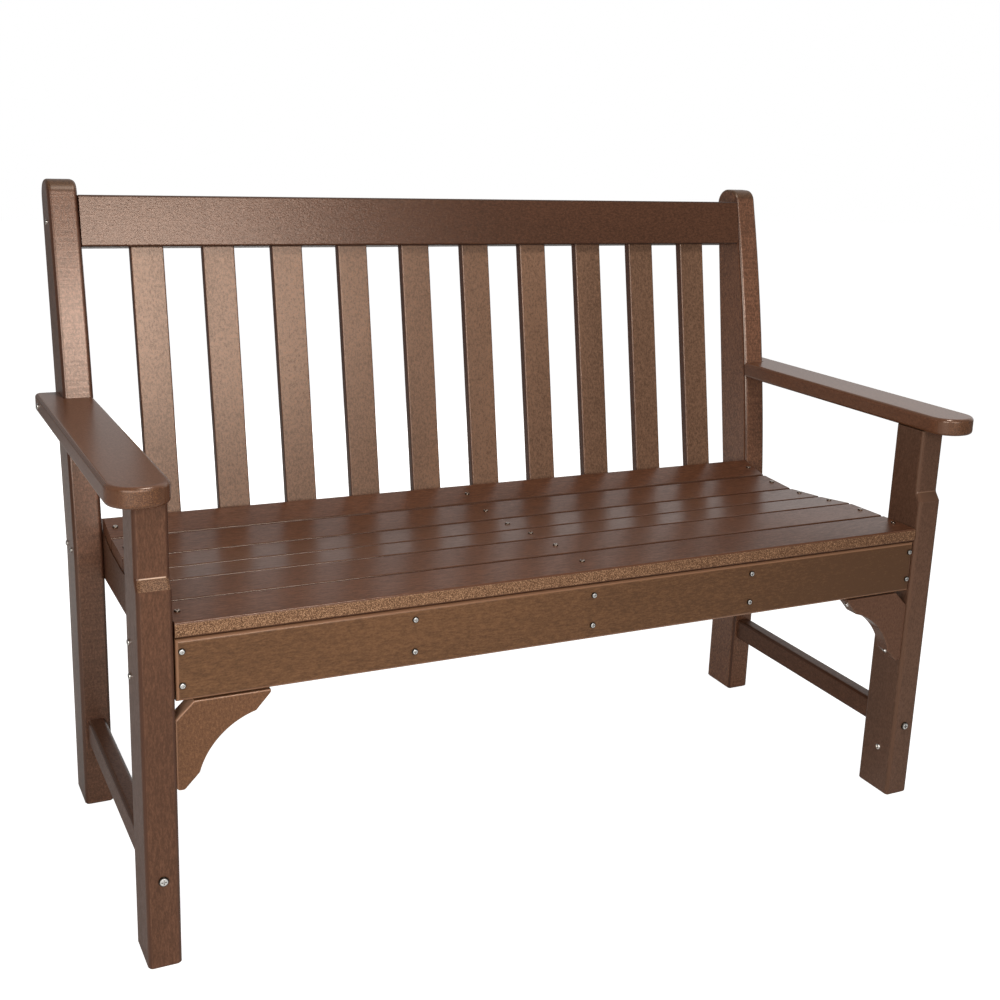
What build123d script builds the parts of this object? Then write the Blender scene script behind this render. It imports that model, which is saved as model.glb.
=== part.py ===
from build123d import *
import math
import os

# Slatted garden bench for two in plastic lumber, all sizes in millimetres.
# X runs along the bench, Y from front to back, Z up from the floor.
# While building, Y is counted from the front face of the front posts.

# Lumber
edge_round = 6.0            # rounded long edges of the posts
board_round = 3.0           # rounded edges of the thinner boards
slat_round = 2.0            # eased edges of the slats
board_thick = 25.0          # arms, apron, brackets, stretchers, side rails
rail_thick = 38.0           # top rail, lower back rail, ribs
fit_gap = 0.3               # clearance round a let-in end or a notch
end_gap = 1.5               # clearance at the end of a board between two posts

# Posts
inner_width = 1088.0        # between the inner faces of the left and right posts
post_thick = 40.0
front_depth = 70.0
step_back = 9.5             # setback of the front post above its step
step_low = 478.5
step_high = 490.5
step_cove = 6.0             # hollow rounding at the top of the step
rear_front_y = 439.0        # front face of the rear post's upright leg
rear_depth = 72.5
knee_z = 373.0              # the rear post leans back from here
curve_mid_z = 620.0         # halfway up the curved front face
curve_mid_depth = 77.8      # depth of the rear post there
tip_drop = 23.0             # the curve ends this far below the top
tip_depth = 60.5            # depth of the rear post there
tip_slope = 0.27            # slope of the front face above the curve
rear_lean = 0.1673          # slope of the straight rear face above the knee
post_top = 889.0
top_front_round = 20.0
top_rear_round = 25.0
knee_round = 120.0
foot_ease = 2.0

# Seat
seat_front = (1.5, 437.0)   # Y and Z of the front slat's top front edge
slat_thick = 19.0
seat_slat_width = 75.0
rear_slat_width = 62.0
seat_gap = 2.4
seat_round = 3.0            # rounded long edges of the seat slats
seat_tilts = (-0.7, -1.5, -7.6, -5.6, 2.5, 11.3)   # rise toward the back, degrees
apron_y = 2.5
apron_round = 5.0           # rounded rim of the apron's front
apron_gap = 1.5             # shadow gap under the front slat
frame_low = 339.7           # underside of the apron
support_low = 344.0         # underside of the side rails and ribs
rib_spacing = 251.0

# Back
slat_count = 10
back_slat_width = 45.7
back_slat_thick = 15.1
back_end_space = 66.65            # from a post to the first slat
back_slat_foot = (458.9, 431.8)   # Y and Z of a point low on the slats' front face
back_slat_lean = 10.85
let_in = 14.0
top_rail_drop = 53.0              # from the posts' top to the rail's middle
top_rail_height = 71.0
low_rail_z = 380.0                # middle of the lower back rail
low_rail_height = 58.0

# Arms
arm_width = 71.0
arm_front = -35.0
arm_back = 525.0
arm_under = 583.5           # underside of the arm at the front face of the front post
arm_drop = 1.0              # fall toward the back, degrees
arm_front_flat = 3.0        # left straight between the two front roundings
arm_back_round = 9.0
arm_edge_round = 5.0

# Corner brackets
bracket_y = 4.0
bracket_gap = 2.0           # shadow gap under the apron
bracket_reach = 112.5
bracket_drop = 111.0
bracket_cut = 18.0          # straight diagonal cut at each end, along X
bracket_upper_rise = 20.5   # the same cuts along Z
bracket_lower_rise = 19.2
bracket_land = 9.0          # short square edge at the foot
bracket_tip = 4.0
bracket_chamfer = 22.0
bracket_arc = 12.5          # depth of the hollow arc
bracket_corner = 1.0        # rounding of the outline's corners
bracket_foot_round = 4.0    # the same at the foot
bracket_screw_in = 10.0     # from the bracket's front face
bracket_screw_shift = (5.0, 8.5)   # upper and lower, both upward from the middle of the cut

# Side stretchers
stretcher_height = 36.0
stretcher_mid = 116.0

# Screws: head radius, head height, shank radius, length under the head
head_dome = 0.7             # rounding of the head as a share of its height
cross_reach = 1.1           # cross recess as shares of the head radius
cross_width = 0.25
seat_screw = (3.8, 2.2, 1.9, 32.0)
apron_screw = (4.0, 2.6, 2.1, 45.0)
frame_screw = (4.0, 2.6, 2.1, 60.0)
long_screw = (4.0, 2.6, 2.1, 85.0)
stretcher_bolt = (6.0, 3.4, 3.0, 120.0)
bracket_screw = (3.8, 2.4, 1.9, 45.0)
foot_screw = (4.6, 2.6, 2.1, 25.0)
hole_gap = 0.15
apron_screw_z = (359.5, 401.5)
apron_screw_in = 8.5        # from the post's inner face
front_screw_y = 52.0
rear_screw_in = (24.0, 58.0)   # from the rear post's front face
rear_screw_z = 385.0
top_screw_in = 25.0         # behind the top rail's front face
top_screw_drop = 4.0        # below the top rail's middle
arm_screw_y = 490.0
foot_screw_at = (30.0, 71.0)

inner_x = inner_width / 2
outer_x = inner_x + post_thick
support_front = apron_y + board_thick
rear_end = rear_front_y + rear_depth - edge_round
rib_x = (-rib_spacing, 0.0, rib_spacing)
top_rail_z = post_top - top_rail_drop
back_slat_pitch = (inner_width - 2 * back_end_space - back_slat_width) / (slat_count - 1)


def along_x(outline, x_from, x_to):
    """A solid whose outline lies in the YZ plane, between two X positions."""
    return Pos(x_from, 0, 0) * extrude(Plane.YZ * outline, amount=x_to - x_from)


def ease(solid, axis, radius):
    """Rounds the edges that run along one axis."""
    return fillet(solid.edges().filter_by(axis), radius)


def mirrored(solid):
    return mirror(solid, about=Plane.YZ)


def arm_floor(y):
    """Height of the arm's underside at a given Y."""
    return arm_under - y * math.tan(math.radians(arm_drop))


# Screws stand head up on the XY plane, the shank pointing down.
def screw_shape(size):
    head_r, head_h, shank_r, length = size
    head = Pos(0, 0, head_h / 2) * Cylinder(head_r, head_h)
    head = fillet(head.edges().sort_by(Axis.Z)[-1], head_h * head_dome)
    arm, slot = head_r * cross_reach, head_r * cross_width
    cross = Box(arm, slot, head_h) + Box(slot, arm, head_h)
    head -= Pos(0, 0, head_h) * cross
    return head + Pos(0, 0, -length / 2) * Cylinder(shank_r, length)


def hole_shape(size):
    shank_r, length = size[2:]
    return Pos(0, 0, -length / 2) * Cylinder(shank_r + hole_gap, length + 2 * hole_gap)


def place(point, outward):
    """The location of a screw whose head faces along the given direction."""
    return Plane(origin=point, z_dir=outward).location


def screw_group(size, spots):
    shape = screw_shape(size)
    return Compound([(spot * shape).solid() for spot in spots])


def holes_for(size, spots):
    shape = hole_shape(size)
    return [spot * shape for spot in spots]


# Outlines of the posts, drawn as (Y, Z)
def front_post_outline():
    points = [
        (0, 0),
        (front_depth, 0),
        (front_depth, arm_floor(front_depth)),
        (step_back, arm_floor(step_back)),
        (step_back, step_high),
        (0, step_low),
    ]
    face = make_face(Polyline(*points, close=True))
    inner_corner = face.vertices().sort_by_distance((step_back, step_high, 0))[0]
    return fillet(inner_corner, step_cove)


def rear_face_y(z):
    return rear_front_y + rear_depth + (z - knee_z) * rear_lean


def rear_post_outline():
    knee_front = (rear_front_y, knee_z)
    front_mid = (rear_face_y(curve_mid_z) - curve_mid_depth, curve_mid_z)
    tip_z = post_top - tip_drop
    front_top = (rear_face_y(tip_z) - tip_depth, tip_z)
    lean_top = front_top[0] + tip_drop * tip_slope
    arc = ThreePointArc(knee_front, front_mid, front_top)
    rest = Polyline(
        front_top,
        (lean_top, post_top),
        (rear_face_y(post_top), post_top),
        (rear_face_y(knee_z), knee_z),
        (rear_front_y + rear_depth, 0),
        (rear_front_y, 0),
        knee_front,
    )
    face = make_face([arc, rest.edges()])
    tops = face.vertices().sort_by(Axis.Y)[-2:]
    front_corner, rear_corner = tops.sort_by(Axis.X)
    face = fillet(front_corner, top_front_round)
    rear_corner = face.vertices().sort_by_distance((rear_corner.X, rear_corner.Y, 0))[0]
    face = fillet(rear_corner, top_rear_round)
    for y in (rear_front_y, rear_face_y(knee_z)):
        knee = face.vertices().sort_by_distance((y, knee_z, 0))[0]
        face = fillet(knee, knee_round)
    return face


def right_front_post():
    solid = along_x(front_post_outline(), inner_x, outer_x)
    longs = solid.faces().filter_by(Axis.X).edges().filter_by(
        lambda e: abs(e.bounding_box().size.Z) > board_round)
    solid = fillet(longs, edge_round)
    return chamfer(solid.faces().sort_by(Axis.Z)[0].edges(), foot_ease)


def right_rear_post():
    solid = along_x(rear_post_outline(), inner_x, outer_x)
    longs = solid.faces().filter_by(Axis.X).edges().filter_by(
        lambda e: abs(e.bounding_box().size.Z) > board_round)
    solid = fillet(longs, edge_round)
    return chamfer(solid.faces().sort_by(Axis.Z)[0].edges(), foot_ease)


def right_arm():
    """A flat board, rounded at the front, notched round the rear post's front and outer faces."""
    depth = arm_back - arm_front
    flat = Pos(0, arm_front, 0) * Rectangle(arm_width, depth, align=(Align.MIN, Align.MIN))
    flat = Pos(inner_x, 0, 0) * flat
    front = flat.vertices().sort_by(Axis.Y)[:2]
    flat = fillet(front, (arm_width - arm_front_flat) / 2)
    outer_back = flat.vertices().sort_by(Axis.Y)[-2:].sort_by(Axis.X)[-1]
    flat = fillet(outer_back, arm_back_round)
    board = extrude(flat, amount=board_thick)
    rims = board.faces().filter_by(Axis.Z).edges()
    board = fillet(rims, arm_edge_round)
    board = Pos(0, 0, arm_under) * Rot(-arm_drop, 0, 0) * board
    notch = offset(rear_post_outline(), amount=fit_gap)
    return board - along_x(notch, inner_x - post_thick, outer_x + fit_gap)


# Seat slats, front to back: each starts a gap behind the one before it.
def seat_line():
    """For each slat: top front edge (Y, Z), tilt and width."""
    y, z = seat_front
    rows = []
    for number, tilt in enumerate(seat_tilts, start=1):
        width = rear_slat_width if number == len(seat_tilts) else seat_slat_width
        lean = math.radians(tilt)
        rows.append((y, z, lean, width))
        y += width * math.cos(lean) + seat_gap
        z += width * math.sin(lean)
    return rows


def on_slat(row, across, up):
    """The (Y, Z) of a point across a slat and above its top face."""
    y, z, lean, width = row
    return (
        y + across * math.cos(lean) - up * math.sin(lean),
        z + across * math.sin(lean) + up * math.cos(lean),
    )


def seat_slat(row):
    y, z, lean, width = row
    length = inner_width - 2 * end_gap
    board = Box(length, width, slat_thick, align=(Align.CENTER, Align.MIN, Align.MAX))
    board = ease(board, Axis.X, seat_round)
    return Pos(0, y, z) * Rot(math.degrees(lean), 0, 0) * board


def slat_underside():
    """The (Y, Z) corners of the slats' undersides, front to back."""
    corners = []
    for row in seat_line():
        corners.append(on_slat(row, 0, -slat_thick))
        corners.append(on_slat(row, row[3], -slat_thick))
    return corners


def height_at(line, y):
    """Height of a chain of (Y, Z) points at a given Y, level beyond its last point."""
    for (y0, z0), (y1, z1) in zip(line, line[1:]):
        if y0 <= y <= y1:
            return z0 + (z1 - z0) * (y - y0) / (y1 - y0)
    return line[-1][1]


apron_top = height_at(slat_underside(), support_front)


def seat_support_outline(low_back, high_back):
    """Outline of a side rail or rib: its top carries the undersides of the slats."""
    tops = slat_underside()
    inside = [p for p in tops if support_front < p[0] < high_back]
    first = (support_front, apron_top)
    last = (high_back, height_at(tops, high_back))
    foot = (low_back, support_low)
    return make_face(Polyline((support_front, support_low), first, *inside, last, foot, close=True))


def right_side_rail():
    outline = seat_support_outline(rear_end, rear_end)
    return along_x(outline, inner_x - board_thick, inner_x)


def seat_rib(x):
    tops = slat_underside()
    high = rail_front_y(tops[-2][1])
    outline = seat_support_outline(rail_front_y(support_low), high)
    return along_x(outline, x - rail_thick / 2, x + rail_thick / 2)


def front_apron():
    board = Box(inner_width - 2 * end_gap, board_thick, apron_top - apron_gap - frame_low,
                align=(Align.CENTER, Align.MIN, Align.MIN))
    board = fillet(board.faces().sort_by(Axis.Y)[0].edges(), apron_round)
    return Pos(0, apron_y, frame_low) * board


# Back: slats let into the top rail and into the lower back rail.
def back_slat_y(z):
    return back_slat_foot[0] + (z - back_slat_foot[1]) * math.tan(math.radians(back_slat_lean))


def rail_front_y(z):
    """Front face of the rails: the slats sit in the middle of their thickness."""
    ahead = (rail_thick - back_slat_thick) / 2
    return back_slat_y(z) - ahead / math.cos(math.radians(back_slat_lean))


back_slat_low = low_rail_z + low_rail_height / 2 - let_in
back_slat_high = top_rail_z - top_rail_height / 2 + let_in


def back_slat_board(x, spare):
    """One slat, made larger all round by the spare for cutting its mortises."""
    lean = math.radians(back_slat_lean)
    length = (back_slat_high - back_slat_low) / math.cos(lean)
    board = Box(back_slat_width + 2 * spare, back_slat_thick + 2 * spare, length + 2 * spare,
                align=(Align.CENTER, Align.MIN, Align.MIN))
    board = ease(board, Axis.Z, slat_round)
    board = Pos(0, -spare, -spare) * board
    return Pos(x, back_slat_y(back_slat_low), back_slat_low) * Rot(-back_slat_lean, 0, 0) * board


def slat_x(number):
    return (number - (slat_count + 1) / 2) * back_slat_pitch


def mortises():
    return [back_slat_board(slat_x(number), fit_gap) for number in range(1, slat_count + 1)]


def back_rail(length, height, z):
    """A rail of the back, leaning with the slats and mortised for them."""
    board = Box(length, rail_thick, height, align=(Align.CENTER, Align.MIN, Align.CENTER))
    board = ease(board, Axis.X, board_round)
    board = Pos(0, rail_front_y(z), z) * Rot(-back_slat_lean, 0, 0) * board
    return board - mortises()


# Corner bracket, drawn as (X from the post, Z down from its own top) on the right
def bracket_outline():
    reach, drop = bracket_reach, bracket_drop
    upper = (-reach + bracket_cut, -bracket_tip - bracket_upper_rise)
    lower = (-bracket_land - bracket_cut, -drop + bracket_lower_rise)
    middle = ((upper[0] + lower[0]) / 2, (upper[1] + lower[1]) / 2)
    span = math.hypot(upper[0] - lower[0], upper[1] - lower[1])
    inward = ((lower[1] - upper[1]) / span, (upper[0] - lower[0]) / span)
    hollow = (middle[0] - inward[0] * bracket_arc, middle[1] - inward[1] * bracket_arc)
    arc = ThreePointArc(upper, hollow, lower)
    rest = Polyline(
        lower,
        (-bracket_land, -drop),
        (0, -drop),
        (0, -bracket_chamfer),
        (-bracket_chamfer, 0),
        (-reach, 0),
        (-reach, -bracket_tip),
        upper,
    )
    face = make_face([arc, rest.edges()])
    face = fillet(face.vertices().sort_by(Axis.Y)[2:], bracket_corner)
    return fillet(face.vertices().sort_by(Axis.Y)[:2], bracket_foot_round)


def right_bracket():
    solid = extrude(Plane.XZ * bracket_outline(), amount=-board_thick)
    rims = solid.faces().filter_by(Axis.Y).edges()
    solid = fillet(rims, slat_round)
    return Pos(inner_x, bracket_y, frame_low - bracket_gap) * solid


def right_stretcher():
    length = rear_front_y - front_depth
    board = Box(board_thick, length, stretcher_height, align=(Align.CENTER, Align.MIN, Align.CENTER))
    board = ease(board, Axis.Y, edge_round)
    return Pos((inner_x + outer_x) / 2, front_depth, stretcher_mid) * board


# Where the screws go, by group; the left side mirrors the right.
def both_sides(spots):
    """Pairs of (point, outward direction) on the right, then the same on the left."""
    rows = []
    for (x, y, z), (dx, dy, dz) in spots:
        rows.append(place((x, y, z), (dx, dy, dz)))
        rows.append(place((-x, y, z), (-dx, dy, dz)))
    return rows


side_rail_mid = inner_x - board_thick / 2


def seat_screw_spots():
    spots = []
    for row in seat_line():
        y, z = on_slat(row, row[3] / 2, 0)
        up = (0, -math.sin(row[2]), math.cos(row[2]))
        for x in (-side_rail_mid, 0, side_rail_mid):
            spots.append(place((x, y, z), up))
    return spots


def apron_screw_spots():
    columns = (-inner_x + apron_screw_in, *rib_x, inner_x - apron_screw_in)
    return [place((x, apron_y, z), (0, -1, 0)) for x in columns for z in apron_screw_z]


def side_rail_screw_spots():
    front = [((outer_x, front_screw_y, z), (1, 0, 0)) for z in apron_screw_z]
    rear = ((outer_x, rear_front_y + rear_screw_in[1], rear_screw_z), (1, 0, 0))
    return both_sides([*front, rear])


def lower_rail_screw_spots():
    y = rear_front_y + rear_screw_in[0]
    return both_sides([((outer_x, y, rear_screw_z), (1, 0, 0))])


def top_rail_screw_spots():
    z = top_rail_z - top_screw_drop
    return both_sides([((outer_x, rail_front_y(z) + top_screw_in, z), (1, 0, 0))])


def arm_screw_spots():
    z = arm_floor(arm_screw_y) + board_thick / 2
    return both_sides([((inner_x + arm_width, arm_screw_y, z), (1, 0, 0))])


def stretcher_bolt_spots():
    return both_sides([(((inner_x + outer_x) / 2, 0, stretcher_mid), (0, -1, 0))])


def bracket_screw_spots():
    """One on each diagonal cut, square to it and a little above its middle."""
    top = frame_low - bracket_gap
    middles = (
        (-bracket_reach + bracket_cut / 2, -bracket_tip - bracket_upper_rise / 2),
        (-bracket_land - bracket_cut / 2, -bracket_drop + bracket_lower_rise / 2),
    )
    spots = []
    for (x, z), rise, shift in zip(middles, (bracket_upper_rise, bracket_lower_rise), bracket_screw_shift):
        cut_length = math.hypot(bracket_cut, rise)
        x -= shift * bracket_cut / cut_length
        z += shift * rise / cut_length
        spots.append(((inner_x + x, bracket_y + bracket_screw_in, top + z), (-rise, 0, -bracket_cut)))
    return both_sides(spots)


def foot_screw_spots():
    y, z = foot_screw_at
    return both_sides([((inner_x, y, z), (-1, 0, 0))])


def build():
    seat = seat_screw_spots()
    apron = apron_screw_spots()
    sides = side_rail_screw_spots()
    low = lower_rail_screw_spots()
    top = top_rail_screw_spots()
    arms = arm_screw_spots()
    bolts = stretcher_bolt_spots()
    brackets = bracket_screw_spots()
    feet = foot_screw_spots()
    seat_holes = holes_for(seat_screw, seat)
    apron_holes = holes_for(apron_screw, apron)
    side_holes = holes_for(frame_screw, sides)
    low_holes = holes_for(long_screw, low)
    top_holes = holes_for(long_screw, top)
    arm_holes = holes_for(frame_screw, arms)
    bolt_holes = holes_for(stretcher_bolt, bolts)
    bracket_holes = holes_for(bracket_screw, brackets)
    foot_holes = holes_for(foot_screw, feet)

    parts = {}

    def pair(name, solid, holes):
        parts[name + "_right"] = solid - holes
        parts[name + "_left"] = mirrored(solid) - holes

    pair("front_post", right_front_post(), side_holes + bolt_holes + bracket_holes + foot_holes)
    pair("rear_post", right_rear_post(), side_holes + low_holes + top_holes + arm_holes)
    pair("arm", right_arm(), arm_holes)
    pair("seat_side_rail", right_side_rail(), seat_holes + apron_holes + side_holes + low_holes)
    pair("corner_bracket", right_bracket(), bracket_holes)
    pair("side_stretcher", right_stretcher(), bolt_holes)
    for name, x in zip(("left", "centre", "right"), rib_x):
        parts["seat_rib_" + name] = seat_rib(x) - (seat_holes + apron_holes)
    low_rail = back_rail(inner_width - 2 * board_thick, low_rail_height, low_rail_z)
    top_rail = back_rail(inner_width - 2 * fit_gap, top_rail_height, top_rail_z)
    parts["front_apron"] = front_apron() - (apron_holes + bracket_holes)
    parts["lower_back_rail"] = low_rail - low_holes
    parts["top_rail"] = top_rail - top_holes
    for number, row in enumerate(seat_line(), start=1):
        parts[f"seat_slat_{number}"] = seat_slat(row) - seat_holes
    for number in range(1, slat_count + 1):
        parts[f"back_slat_{number:02d}"] = back_slat_board(slat_x(number), 0)
    parts["seat_slat_screws"] = screw_group(seat_screw, seat)
    parts["apron_screws"] = screw_group(apron_screw, apron)
    parts["side_rail_screws"] = screw_group(frame_screw, sides)
    parts["lower_back_rail_screws"] = screw_group(long_screw, low)
    parts["top_rail_screws"] = screw_group(long_screw, top)
    parts["arm_screws"] = screw_group(frame_screw, arms)
    parts["stretcher_bolts"] = screw_group(stretcher_bolt, bolts)
    parts["bracket_screws"] = screw_group(bracket_screw, brackets)
    parts["front_post_foot_screws"] = screw_group(foot_screw, feet)
    return parts


# The bench is moved so that the origin lies on the floor under its middle.
os.makedirs("parts", exist_ok=True)
pieces = build()
depth_from = min(piece.bounding_box().min.Y for piece in pieces.values())
depth_to = max(piece.bounding_box().max.Y for piece in pieces.values())
to_middle = Pos(0, -(depth_from + depth_to) / 2, 0)
for node, piece in pieces.items():
    export_step(to_middle * piece, f"parts/{node}.step")
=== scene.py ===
# %% [markdown]
# # A slatted garden bench in brown plastic lumber
#
# The bench is screwed together from extruded plastic boards: four posts, two arms, a dished seat of
# six slats, a back of ten slats between two rails, and a low frame that carries the seat. The solids
# come from the CAD model with every rounded edge already on them, so this script leaves their shapes
# alone. It gives them their finish and sets up the camera, the floor and the light.

import bpy
import numpy as np
from mathutils import Matrix

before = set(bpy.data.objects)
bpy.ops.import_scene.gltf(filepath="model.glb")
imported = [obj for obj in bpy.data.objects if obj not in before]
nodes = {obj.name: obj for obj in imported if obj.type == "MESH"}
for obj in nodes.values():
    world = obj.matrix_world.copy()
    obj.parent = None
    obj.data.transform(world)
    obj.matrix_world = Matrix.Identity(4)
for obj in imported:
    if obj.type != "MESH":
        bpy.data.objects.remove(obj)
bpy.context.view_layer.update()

# %% [markdown]
# ## Camera
#
# The picture was taken from the front left, from a little above the top of the back. A camera can be
# placed by eye, but the bench has many straight edges, so its place was worked out from them: a
# heading, a dip and a small roll, a focal length in pixels, and the pixel that the lens looks straight
# at. Blender looks along the -Z axis of a camera or a lamp, so a placing matrix needs three axes:
# right, up and backward.

# %% Placing by axes
heading, dip, roll = np.radians((28.454, 14.992, 2.806))


def camera_axes():
    """Right, up and backward unit vectors: the heading turns from +Y towards +X, the dip looks down
    from the horizon, and the roll turns right towards up about the line of sight."""
    ahead = np.array((np.sin(heading) * np.cos(dip), np.cos(heading) * np.cos(dip), -np.sin(dip)))
    level = np.array((np.cos(heading), -np.sin(heading), 0.0))
    upright = np.cross(level, ahead)
    right = level * np.cos(roll) + upright * np.sin(roll)
    up = upright * np.cos(roll) - level * np.sin(roll)
    return right, up, -ahead


def placing(axes, place):
    """A placing matrix: the three axes are its columns, and the place is its shift."""
    return Matrix.Translation(place) @ Matrix(np.column_stack(axes).tolist()).to_4x4()


print("line of sight", np.round(-camera_axes()[2], 3))

# %% [markdown]
# Blender wants the lens in millimetres on a 36 mm sensor, and the pixel on the lens axis as a shift
# from the middle of the picture, in picture widths.

# %% Camera
picture_px = 1000
focal_px = 1400.4
lens_axis_px = (569.35, 474.03)
camera_place = (-0.86242, -1.78382, 1.02921)

lens = bpy.data.cameras.new("camera")
lens.sensor_width = 36.0
lens.lens = focal_px * lens.sensor_width / picture_px
lens.shift_x = 0.5 - lens_axis_px[0] / picture_px
lens.shift_y = lens_axis_px[1] / picture_px - 0.5
camera = bpy.data.objects.new("camera", lens)
camera.matrix_world = placing(camera_axes(), camera_place)
bpy.context.scene.collection.objects.link(camera)
bpy.context.scene.camera = camera
bpy.context.scene.view_settings.view_transform = "Standard"
print("lens", round(lens.lens, 2), "mm")

# %% [markdown]
# ## Node trees in a few words
#
# A material is a small graph. One helper adds a node, sets its options and either writes a value
# into an input or links another node's output to it. Colours are written as they look on a screen,
# from 0 to 255, and turned into the linear values that Blender works in.

# %% Colours and nodes


def colour(red, green, blue):
    """Screen colour to linear light: each channel is raised by the usual display curve."""
    share = np.array((red, green, blue)) / 255.0
    linear = np.where(share <= 0.04045, share / 12.92, ((share + 0.055) / 1.055) ** 2.4)
    return (*linear.tolist(), 1.0)


def add(tree, kind, inputs=None, **options):
    """One node of a tree. A value of inputs is a plain value, or the output socket that feeds it."""
    made = tree.nodes.new("ShaderNode" + kind)
    for option, value in options.items():
        setattr(made, option, value)
    for key, value in (inputs or {}).items():
        if isinstance(value, bpy.types.NodeSocket):
            tree.links.new(value, made.inputs[key])
        else:
            made.inputs[key].default_value = value
    return made


def blank_material(name):
    """A material with an empty tree and its output node."""
    made = bpy.data.materials.new(name)
    made.use_nodes = True
    made.node_tree.nodes.clear()
    return made, made.node_tree, add(made.node_tree, "OutputMaterial")


print("screen level 128 is", round(colour(128, 128, 128)[0], 3), "in linear light")

# %% [markdown]
# ## White floor
#
# The bench stands on plain white. A backdrop could be lit until it is white, but that light would
# wash over the bench too. Here the floor and the surroundings look at the kind of ray instead: a ray
# of the camera meets white, a ray of gloss meets a share of it, and a ray that carries light meets
# the matt floor or a weak fill. The floor keeps the bench's shadow.

# %% Floor finish
white = (1.0, 1.0, 1.0, 1.0)
floor_glow = 0.93
floor_in_gloss = 0.03


def calculate(tree, operation, first, second):
    """One Math node with two inputs, each a value or a socket."""
    return add(tree, "Math", {0: first, 1: second}, operation=operation).outputs[0]


def seen_white(tree, in_gloss):
    """1 for rays of the camera and through glass, a share for rays of gloss, 0 for rays of light."""
    path = add(tree, "LightPath").outputs
    straight = calculate(tree, "MAXIMUM", path["Is Camera Ray"], path["Is Transmission Ray"])
    gloss = calculate(tree, "MULTIPLY", path["Is Glossy Ray"], in_gloss)
    return calculate(tree, "MAXIMUM", straight, gloss)


floor_finish, tree, output = blank_material("pale_floor")
matt = add(tree, "BsdfDiffuse", {"Color": colour(226, 225, 223)})
strength = calculate(tree, "MULTIPLY", seen_white(tree, floor_in_gloss), floor_glow)
glow = add(tree, "Emission", {"Color": white, "Strength": strength})
both = add(tree, "AddShader", {0: matt.outputs[0], 1: glow.outputs[0]})
tree.links.new(both.outputs[0], output.inputs["Surface"])
floor_finish.cycles.emission_sampling = "NONE"
print("floor finish of", len(tree.nodes), "nodes")

# %% [markdown]
# The floor itself is one large square, which isn't part of the bench.

# %% Floor
floor_half = 9.0
floor_mesh = bpy.data.meshes.new("floor")
corners = np.array(((-1, -1), (1, -1), (1, 1), (-1, 1))) * floor_half
floor_mesh.from_pydata(np.column_stack((corners, np.zeros(4))).tolist(), [], [(0, 1, 2, 3)])
floor_mesh.materials.append(floor_finish)
floor = bpy.data.objects.new("floor", floor_mesh)
bpy.context.scene.collection.objects.link(floor)
print("floor", 2 * floor_half, "m square")

# %% [markdown]
# ## Surroundings
#
# A studio isn't equally bright all round. In gloss, the seat mirrors the white behind the bench, while
# the front of the room is dark and the left is dimmer than the right. So the share of white that a ray
# of gloss meets depends on where it goes: +Y is behind the bench, and +X is to its right.

# %% Surroundings
fill_level = 0.13
front_share = 0.08
left_share = 0.12
right_share = 0.46
far_right_share = 0.38


def sums(tree, *terms):
    """Adds up (socket, weight) pairs with one multiply-add node for each."""
    total = 0.0
    for socket, weight in terms:
        inputs = {0: socket, 1: weight, 2: total}
        total = add(tree, "Math", inputs, operation="MULTIPLY_ADD").outputs[0]
    return total


def ramp(tree, factor, low, high, start=0.0, end=1.0):
    """Maps a factor from one range to another, held at the ends."""
    return add(tree, "MapRange", {0: factor, 1: low, 2: high, 3: start, 4: end}).outputs[0]


world = bpy.data.worlds.new("surroundings")
bpy.context.scene.world = world
world.use_nodes = True
tree = world.node_tree
tree.nodes.clear()
towards = add(tree, "SeparateXYZ", {0: add(tree, "TexCoord").outputs["Generated"]}).outputs
behind = ramp(tree, towards["Y"], -0.3, 0.3, front_share, 1.0)
to_the_right = ramp(tree, towards["X"], -0.12, 0.06, left_share, right_share)
far_right = ramp(tree, towards["X"], 0.35, 0.7)
sideways = sums(tree, (to_the_right, 1.0), (far_right, far_right_share))
in_gloss = calculate(tree, "MULTIPLY", behind, sideways)
level = ramp(tree, seen_white(tree, in_gloss), 0.0, 1.0, fill_level, 1.0)
sky = add(tree, "Background", {"Color": white, "Strength": level})
tree.links.new(sky.outputs[0], add(tree, "OutputWorld").inputs["Surface"])
world.cycles.sampling_method = "NONE"
print("fill level", fill_level)

# %% [markdown]
# ## Studio light
#
# Four soft lamps light the bench: the strongest on the left, a broad one far in front, one above for
# the arms and the seat, and a low one behind for the back. The sheen on the left of the back, which
# fades towards the far end, is the reflection of a broad lamp. The lamp in front could give both light
# and sheen, but then one strength sets both. So it isn't seen in gloss, and a fifth lamp, the
# reflector, hangs just before it and is seen in gloss alone. The lamp behind isn't seen in gloss
# either, to keep it out of the seat's shine.

# %% Lamps


def soft_light(name, place, target, size, spread, watts):
    """A rectangular lamp that looks from its place to a target and fades out at half its spread."""
    lamp = bpy.data.lights.new(name, "AREA")
    lamp.shape = "RECTANGLE"
    lamp.size, lamp.size_y = size
    lamp.spread = np.radians(spread)
    lamp.energy = watts
    backward = np.array(place) - np.array(target)
    backward = backward / np.linalg.norm(backward)
    right = np.cross((0.0, 0.0, 1.0), backward)
    right = right / np.linalg.norm(right)
    made = bpy.data.objects.new(name, lamp)
    made.matrix_world = placing((right, np.cross(backward, right), backward), place)
    bpy.context.scene.collection.objects.link(made)
    return made


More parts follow.
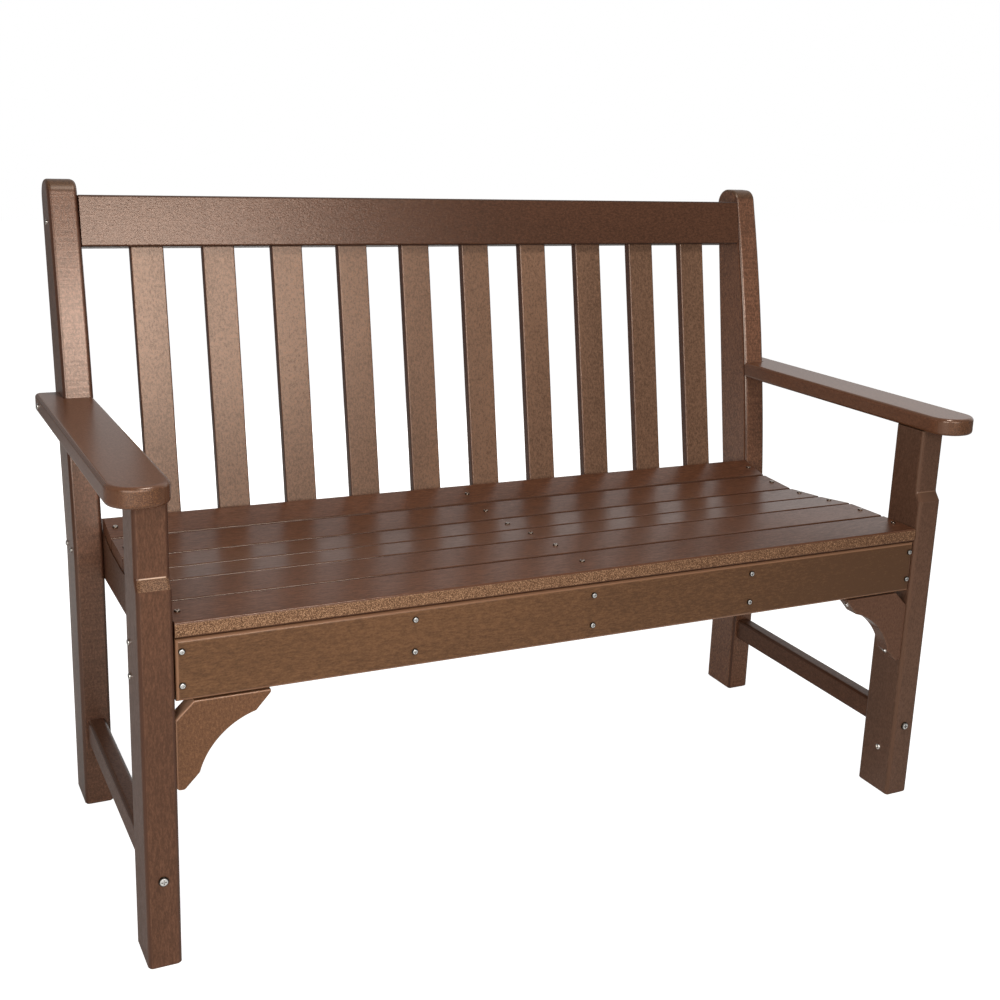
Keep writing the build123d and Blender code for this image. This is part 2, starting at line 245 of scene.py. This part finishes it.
back_left = (-0.45, 0.0, 0.6)
broad_size = (1.9, 1.15)
broad = soft_light("broad_light", (0.05, -4.0, 1.76), back_left, broad_size, spread=100, watts=10.5)
broad.visible_glossy = False
reflector = soft_light("reflector", (0.05, -3.95, 1.75), back_left, broad_size, spread=100, watts=21.0)
reflector.visible_diffuse = False
soft_light("left_light", (-1.9, -2.2, 1.1), (-0.2, 0.0, 0.4), (1.6, 1.2), spread=180, watts=34.0)
soft_light("top_light", (0.2, -1.0, 3.0), (-0.2, -0.2, 0.5), (0.9, 0.5), spread=120, watts=13.0)
back_lamp = soft_light(
    "back_light", (0.3, 2.8, 0.45), (0.0, 0.2, 0.55), (1.8, 0.6), spread=120, watts=18.0)
back_lamp.visible_glossy = False
print(len(bpy.data.lights), "lamps")

# %% [markdown]
# ## Grain of brown plastic lumber
#
# The boards are polyethylene, coloured right through. Their skin has a fine pebble grain, longer along
# the board than across it, a finer speckle in it and broad clouds of tone. Some boards also carry the
# fine cross marks that a planer leaves. An image could hold all this, but noise on Object coordinates,
# in metres, keeps the grain at its real size on every board: a board only has to say which axis it
# runs along.

# %% Grain
pebble_per_m = 400.0
speckle_per_m = 800.0
cloud_per_m = 5.0
planer_per_m = 460.0


def noise(tree, spot, per_m, along=None, stretch=1.0, detail=2.0):
    """Noise with so many grains in a metre, stretched along one axis if one is named."""
    scale = [per_m / (stretch if axis == along else 1.0) for axis in "XYZ"]
    spaced = add(tree, "Mapping", {"Vector": spot, "Scale": scale}).outputs[0]
    return add(tree, "TexNoise", {"Vector": spaced, "Scale": 1.0, "Detail": detail}).outputs[0]


def skin(tree, spot, along, stretch, marks):
    """Tone and height of a board's skin, where marks is the strength of the planer's marks:
    tone = 0.4 pebble + 0.35 speckle + 0.25 clouds + marks (planer - 0.5),
    height = 0.7 pebble + 0.6 speckle + 6 marks planer."""
    pebble = noise(tree, spot, pebble_per_m, along, stretch)
    speckle = noise(tree, spot, speckle_per_m, along, 0.6 * stretch)
    clouds = noise(tree, spot, cloud_per_m, along, 3.0)
    tone = [(pebble, 0.4), (speckle, 0.35), (clouds, 0.25)]
    height = [(pebble, 0.7), (speckle, 0.6)]
    if marks:
        planer = noise(tree, spot, planer_per_m, "X", 30.0, 0.0)
        tone.append((calculate(tree, "SUBTRACT", planer, 0.5), marks))
        height.append((planer, 6.0 * marks))
    return sums(tree, *tone), sums(tree, *height)


print("pebbles of", 1000 / pebble_per_m, "mm, speckle of", 1000 / speckle_per_m, "mm")

# %% [markdown]
# ### Shades
#
# A board isn't one brown. The low tones of its skin are darker and redder, the high ones paler and
# greyer, so one middle colour and a contrast are enough to describe it.

# %% Shades


def shades_of(red, green, blue, contrast):
    """Dark, middle and pale shade: green and blue change more than red, by 1.12 and 1.25 times."""
    change = contrast * np.array((1.0, 1.12, 1.25))
    return [colour(*(np.array((red, green, blue)) * (1 + side * change))) for side in (-1, 0, 1)]


def spread_over(tree, factor, shades, half_width):
    """A colour ramp of three shades: the middle one at 0.5, the others half_width to either side."""
    spread = add(tree, "ValToRGB", {0: factor})
    for stop, side in ((0, -1), (1, 1)):
        spread.color_ramp.elements[stop].position = 0.5 + side * half_width
        spread.color_ramp.elements[stop].color = shades[1 + side]
    spread.color_ramp.elements.new(0.5).color = shades[1]
    return spread.outputs[0]


print("shades of a board", np.round(shades_of(100, 66, 48, 0.16), 3).tolist())

# %% [markdown]
# ### Which way a surface faces
#
# The rounded edges of a board are rubbed smooth. They catch the light as thin lines, and their
# colour is painted light: paler than the board where it stands for a highlight, as on the apron and
# the brackets, and darker where it stands for shade, as in the seat's gaps and on the rails, the rear
# posts and the back slats. Edges could be marked by hand, but nearly every board runs along an axis,
# so
# the normal tells: a flat face looks along one axis, and a rounded edge looks along two. The same
# facings find a face that was sawn, and the hollow rounding at the top of a front post's step.

# %% Faces, edges and the step


def facing_axes(tree, coords):
    """How squarely the surface faces each axis, from 0 to 1."""
    size = add(tree, "VectorMath", {0: coords["Normal"]}, operation="ABSOLUTE")
    return dict(zip("XYZ", add(tree, "SeparateXYZ", {0: size.outputs[0]}).outputs))


def rounded_edges(tree, facing):
    """1 on the rounded edges, where the surface faces two axes: the middle one of the three facings,
    which is the larger of min(X, Y) and min(max(X, Y), Z), is well above 0 there."""
    small = calculate(tree, "MINIMUM", facing["X"], facing["Y"])
    large = calculate(tree, "MAXIMUM", facing["X"], facing["Y"])
    lower = calculate(tree, "MINIMUM", large, facing["Z"])
    return ramp(tree, calculate(tree, "MAXIMUM", small, lower), 0.3, 0.5)


def step_hollow(tree, facing):
    """1 in the hollow at the top of the step, where an upright face starts to lean: the facing along Z
    lies between about 0.2 and 0.4, and the facing along X is small."""
    begun = ramp(tree, facing["Z"], 0.16, 0.28)
    ended = ramp(tree, facing["Z"], 0.36, 0.48, 1.0, 0.0)
    level = ramp(tree, facing["X"], 0.1, 0.25, 1.0, 0.0)
    return calculate(tree, "MULTIPLY", calculate(tree, "MULTIPLY", begun, ended), level)


print("halfway round an edge, both facings are", round(float(np.cos(np.radians(45))), 2))

# %% [markdown]
# ### One recipe for every board
#
# All boards share one recipe. The tone of the skin picks its colour and its gloss, and its height
# makes a shallow relief that breaks up the sheen. The sheen of this plastic is warm, so the shader's
# specular tint is too. Where a board was sawn or planed through its skin, a coarse sparkle shows.

# %% Finish of a board
plastic_ior = 1.5
sheen_tint = (1.0, 0.78, 0.64, 1.0)
skin_spread = 0.11
sparkle_spread = 0.16
sparkle_per_m = 800.0
sawn_rough = 0.42
edge_relief = 0.15
shade_to_right_start, shade_to_right_end = -0.3, 0.5


def blend(tree, factor, first, second):
    """Mixes two colours, each a value or a socket."""
    return add(tree, "Mix", {0: factor, 6: first, 7: second}, data_type="RGBA").outputs[2]


def lumber(name, along, shades, edge_tone_and_painted_light, rough, shine, sawn=None, line=None, marks=0.0, shade_to_right=0.0,
           stretch=1.8, relief_depth=0.00007, gloss_change=0.045, edge_rough=0.17):
    """Plastic lumber whose grain runs along one axis, stretched that way.

    The tone spreads over the three shades and changes the roughness by gloss_change either way.
    Rounded edges take the colour given for them, paler than the board where it is a painted highlight
    and darker where it is a painted shade, with edge_rough and little relief. A painted shade lowers
    the tone towards the right end by the amount given. sawn is an axis, the facing along it at which a
    cut face starts and is complete, and the three shades of its sparkle. The colour given for the
    hollow above a step is a painted highlight there. relief_depth is in metres."""
    made, tree, output = blank_material(name)
    coords = add(tree, "TexCoord").outputs
    spot = coords["Object"]
    facing = facing_axes(tree, coords)
    rounded = rounded_edges(tree, facing)
    across = add(tree, "SeparateXYZ", {0: spot}).outputs["X"]
    # painted shade: the tone drops towards the right end of a board, where less light falls
    right_end_shade = ramp(tree, across, shade_to_right_start, shade_to_right_end)
    tone, height = skin(tree, spot, along, stretch, marks)
    tone = sums(tree, (tone, 1.0), (right_end_shade, -shade_to_right))
    # painted highlight and painted shade: the rounded edges take the colour given for them
    painted = blend(tree, rounded, spread_over(tree, tone, shades, skin_spread), edge_tone_and_painted_light)
    gloss = ramp(tree, tone, 0.4, 0.6, rough + gloss_change, rough - gloss_change)
    gloss = ramp(tree, rounded, 0.0, 1.0, gloss, edge_rough)
    if sawn:
        axis, start, complete, sparkle_shades = sawn
        cut = ramp(tree, facing[axis], start, complete)
        sparkle = noise(tree, spot, sparkle_per_m, detail=1.0)
        sparkle = sums(tree, (sparkle, 1.0), (right_end_shade, -shade_to_right))
        sparkling = spread_over(tree, sparkle, sparkle_shades, sparkle_spread)
        painted = blend(tree, cut, painted, sparkling)
        gloss = ramp(tree, cut, 0.0, 1.0, gloss, sawn_rough)
    if line:
        # painted highlight: a pale band in the hollow at the top of a step
        painted = blend(tree, step_hollow(tree, facing), painted, line)
    strength = ramp(tree, rounded, 0.0, 1.0, 1.0, edge_relief)
    relief = add(tree, "Bump", {"Strength": strength, "Distance": relief_depth, "Height": height})
    surface = add(tree, "BsdfPrincipled", {
        "Base Color": painted, "Roughness": gloss, "Normal": relief.outputs[0], "IOR": plastic_ior,
        "Specular IOR Level": shine, "Specular Tint": sheen_tint})
    tree.links.new(surface.outputs[0], output.inputs["Surface"])
    return made


print("such plastic mirrors", round(((plastic_ior - 1) / (plastic_ior + 1)) ** 2, 3), "straight on")

# %% [markdown]
# ## Posts
#
# Boards of different batches differ a little, so each kind has its own shades. The two posts on the
# right are copies whose shades are changed for the light that reaches them, which is painted light.
# The front posts are reddish and rather matt. The hollow of their step has a pale line of painted
# highlight, and on the left post the slope below it sparkles where it was sawn. The rear posts were
# planed, which leaves fine cross marks in a stronger sheen, and their rounded tips show the sawn core.

# %% Posts
step_cut = ("Z", 0.4, 0.55, [colour(76, 50, 34), colour(106, 73, 50), colour(144, 106, 77)])
tip_cut = ("Z", 0.3, 0.5, [colour(62, 40, 24), colour(86, 57, 36), colour(116, 82, 56)])

front_post_finish = lumber(
    "front_post_lumber", "Z", shades_of(100, 66, 48, 0.16), edge_tone_and_painted_light=colour(84, 54, 40),
    rough=0.36, shine=0.45, sawn=step_cut, line=colour(206, 170, 142), stretch=4.0)
# painted light: the right front post's shades, edge and hollow band are set for the light that reaches
# it
right_post_painted_light = lumber(
    "right_post_painted_light_lumber", "Z", shades_of(98, 69, 53, 0.16), edge_tone_and_painted_light=colour(104, 74, 57),
    rough=0.36, shine=0.45, line=colour(140, 106, 84))
# painted light: the right rear post's shades are paler for the light that reaches it
rear_post_finish, right_rear_painted_light = [
    lumber(name, "Z", shades_of(*middle, 0.3), edge_tone_and_painted_light=colour(80, 50, 37), rough=0.31, shine=0.93,
           sawn=tip_cut, marks=0.1, relief_depth=0.0001, gloss_change=0.03)
    for name, middle in (("rear_post_lumber", (99, 66, 49)), ("right_rear_painted_light_lumber", (120, 80, 58)))]
print("front posts:", front_post_finish.name, right_post_painted_light.name)
print("rear posts:", rear_post_finish.name, right_rear_painted_light.name)

# %% [markdown]
# ## Arms and seat
#
# The arms are the smoothest boards, with hardly any relief and an even gloss. Their rounded front ends
# were sawn to shape and sparkle a little. The seat slats have a long grain. The front slat's planed
# edge shows a golden sparkle, with a painted shade darkening it towards the right. The edges and the
# faces in the gaps between the slats are dark with painted shade.

# %% Arms and seat
arm_cut = ("Y", 0.6, 0.95, [colour(68, 40, 23), colour(93, 56, 33), colour(130, 86, 55)])
front_cut = ("Y", 0.9, 0.97, [colour(82, 54, 37), colour(129, 92, 65), colour(188, 146, 110)])
# painted shade: dark faces inside the gaps between the seat slats
gap_painted_shade = ("Y", 0.9, 0.97, [colour(52, 31, 24), colour(70, 43, 32), colour(90, 58, 44)])

arm_finish = lumber(
    "arm_lumber", "Y", shades_of(110, 71, 50, 0.16), edge_tone_and_painted_light=colour(104, 68, 48),
    rough=0.3, shine=0.9, sawn=arm_cut, relief_depth=0.00001, gloss_change=0.012)
front_slat_finish = lumber(
    "front_slat_lumber", "X", shades_of(101, 63, 43, 0.2), edge_tone_and_painted_light=colour(100, 66, 49),
    rough=0.32, shine=0.4, sawn=front_cut, shade_to_right=0.07, stretch=6.0)
seat_finish = lumber(
    "seat_lumber", "X", shades_of(100, 62, 42, 0.2), edge_tone_and_painted_light=colour(76, 49, 36),
    rough=0.32, shine=0.4, sawn=gap_painted_shade, stretch=6.0)
print("arms and seat:", arm_finish.name, front_slat_finish.name, seat_finish.name)

# %% [markdown]
# ## Back
#
# The back slats are paler than the rest. Their sides were ripped to width and are rougher, and their
# dark colour is a painted shade. The rails are darker and have the deepest pebble. Their edges are
# left rough, because a smooth edge with this relief would glint, and are darkened with painted shade.

# %% Back
# painted shade: dark sides of the back slats, which are also rougher where ripped
side_painted_shade = ("X", 0.9, 0.97, [colour(62, 38, 29), colour(84, 53, 40), colour(106, 70, 54)])

slat_finish = lumber(
    "back_slat_lumber", "Z", shades_of(119, 87, 66, 0.25), edge_tone_and_painted_light=colour(96, 62, 45),
    rough=0.29, shine=0.62, sawn=side_painted_shade, relief_depth=0.00012, gloss_change=0.025)
rail_finish = lumber(
    "rail_lumber", "X", shades_of(86, 55, 39, 0.2), edge_tone_and_painted_light=colour(60, 38, 28),
    rough=0.23, shine=0.56, relief_depth=0.00019, gloss_change=0.02, edge_rough=0.5)
print("back:", slat_finish.name, rail_finish.name)

# %% [markdown]
# ## Apron, brackets and sides
#
# The apron and the left bracket are the most golden boards; their pale edges are a painted
# highlight. A painted shade darkens the apron towards its right end. The right bracket, the side
# rails, the ribs and the stretchers are plainer, and the right bracket's edges have a weaker painted
# highlight.

# %% Apron, brackets and sides
apron_finish = lumber(
    "apron_lumber", "X", shades_of(107, 73, 47, 0.16), edge_tone_and_painted_light=colour(156, 114, 86),
    rough=0.38, shine=0.5, shade_to_right=0.13, stretch=3.5)
bracket_finish = lumber(
    "bracket_lumber", "Z", shades_of(118, 79, 52, 0.2), edge_tone_and_painted_light=colour(176, 134, 106),
    rough=0.38, shine=0.6)
far_bracket_finish = lumber(
    "far_bracket_lumber", "Z", shades_of(96, 64, 47, 0.18), edge_tone_and_painted_light=colour(116, 84, 66),
    rough=0.38, shine=0.5)
side_finish = lumber(
    "side_lumber", "Y", shades_of(92, 60, 43, 0.2), edge_tone_and_painted_light=colour(84, 54, 39),
    rough=0.4, shine=0.4)
print("apron and sides:", apron_finish.name, side_finish.name)
print("brackets:", bracket_finish.name, far_bracket_finish.name)

# %% [markdown]
# ## Stainless screws
#
# The screws are plain stainless steel, turned and then pressed with a cross recess. Steel shows the
# room that it faces, and a real studio has more bright and dark places than this one. So the crown
# and the rim of a head each have a painted reflection in their colour, chosen by the axis that the
# head looks along, over a roughness that changes finely.

# %% Steel
brush_per_m = 2600.0
rough_change = 0.06


def steel(name, axis, rim_reflection, crown_reflection, rough=0.2):
    """Stainless steel: the crown of the head faces an axis, and crown and rim each carry a painted
    reflection in their colour.
    """
    made, tree, output = blank_material(name)
    coords = add(tree, "TexCoord").outputs
    brush = noise(tree, coords["Object"], brush_per_m)
    top = ramp(tree, facing_axes(tree, coords)[axis], 0.85, 0.98)
    surface = add(tree, "BsdfPrincipled", {
        "Base Color": blend(tree, top, rim_reflection, crown_reflection), "Metallic": 1.0,
        "Roughness": ramp(tree, brush, 0.3, 0.7, rough - rough_change, rough + rough_change)})
    tree.links.new(surface.outputs[0], output.inputs["Surface"])
    return made


# painted reflections: bright and dark tones on crown and rim stand in for bright and dark places of
# the room
front_steel = steel("screw_steel_front", "Y", colour(64, 57, 50), colour(250, 248, 244), rough=0.36)
side_steel = steel("screw_steel_side", "X", colour(206, 200, 192), colour(110, 102, 94))
inner_steel = steel("screw_steel_inner", "X", colour(238, 234, 228), colour(226, 221, 214))
seat_steel = steel("screw_steel_seat", "Z", colour(110, 96, 84), colour(230, 222, 214))
print("steel:", front_steel.name, side_steel.name, inner_steel.name, seat_steel.name)

# %% [markdown]
# ## Dressing the CAD nodes
#
# A finish could be given to each of the nodes by name, but boards of one kind share the start of their
# names. So each node takes the finish with the longest start that fits: a right front post finds its
# own before that of any front post.

# %% Finishes on the nodes
finish_of = {
    "front_post": front_post_finish,
    "front_post_right": right_post_painted_light,
    "front_post_foot_screws": inner_steel,
    "rear_post": rear_post_finish,
    "rear_post_right": right_rear_painted_light,
    "arm": arm_finish,
    "arm_screws": side_steel,
    "seat_slat": seat_finish,
    "seat_slat_1": front_slat_finish,
    "seat_slat_screws": seat_steel,
    "back_slat": slat_finish,
    "top_rail": rail_finish,
    "top_rail_screws": side_steel,
    "lower_back_rail": rail_finish,
    "lower_back_rail_screws": side_steel,
    "front_apron": apron_finish,
    "apron_screws": front_steel,
    "corner_bracket": bracket_finish,
    "corner_bracket_right": far_bracket_finish,
    "bracket_screws": inner_steel,
    "seat_side_rail": side_finish,
    "side_rail_screws": side_steel,
    "seat_rib": side_finish,
    "side_stretcher": side_finish,
    "stretcher_bolts": front_steel,
}
for name, part in nodes.items():
    start = max((key for key in finish_of if name.startswith(key)), key=len)
    part.material_slots[0].material = finish_of[start]
print(len(nodes), "nodes dressed in", len(set(finish_of.values())), "finishes")
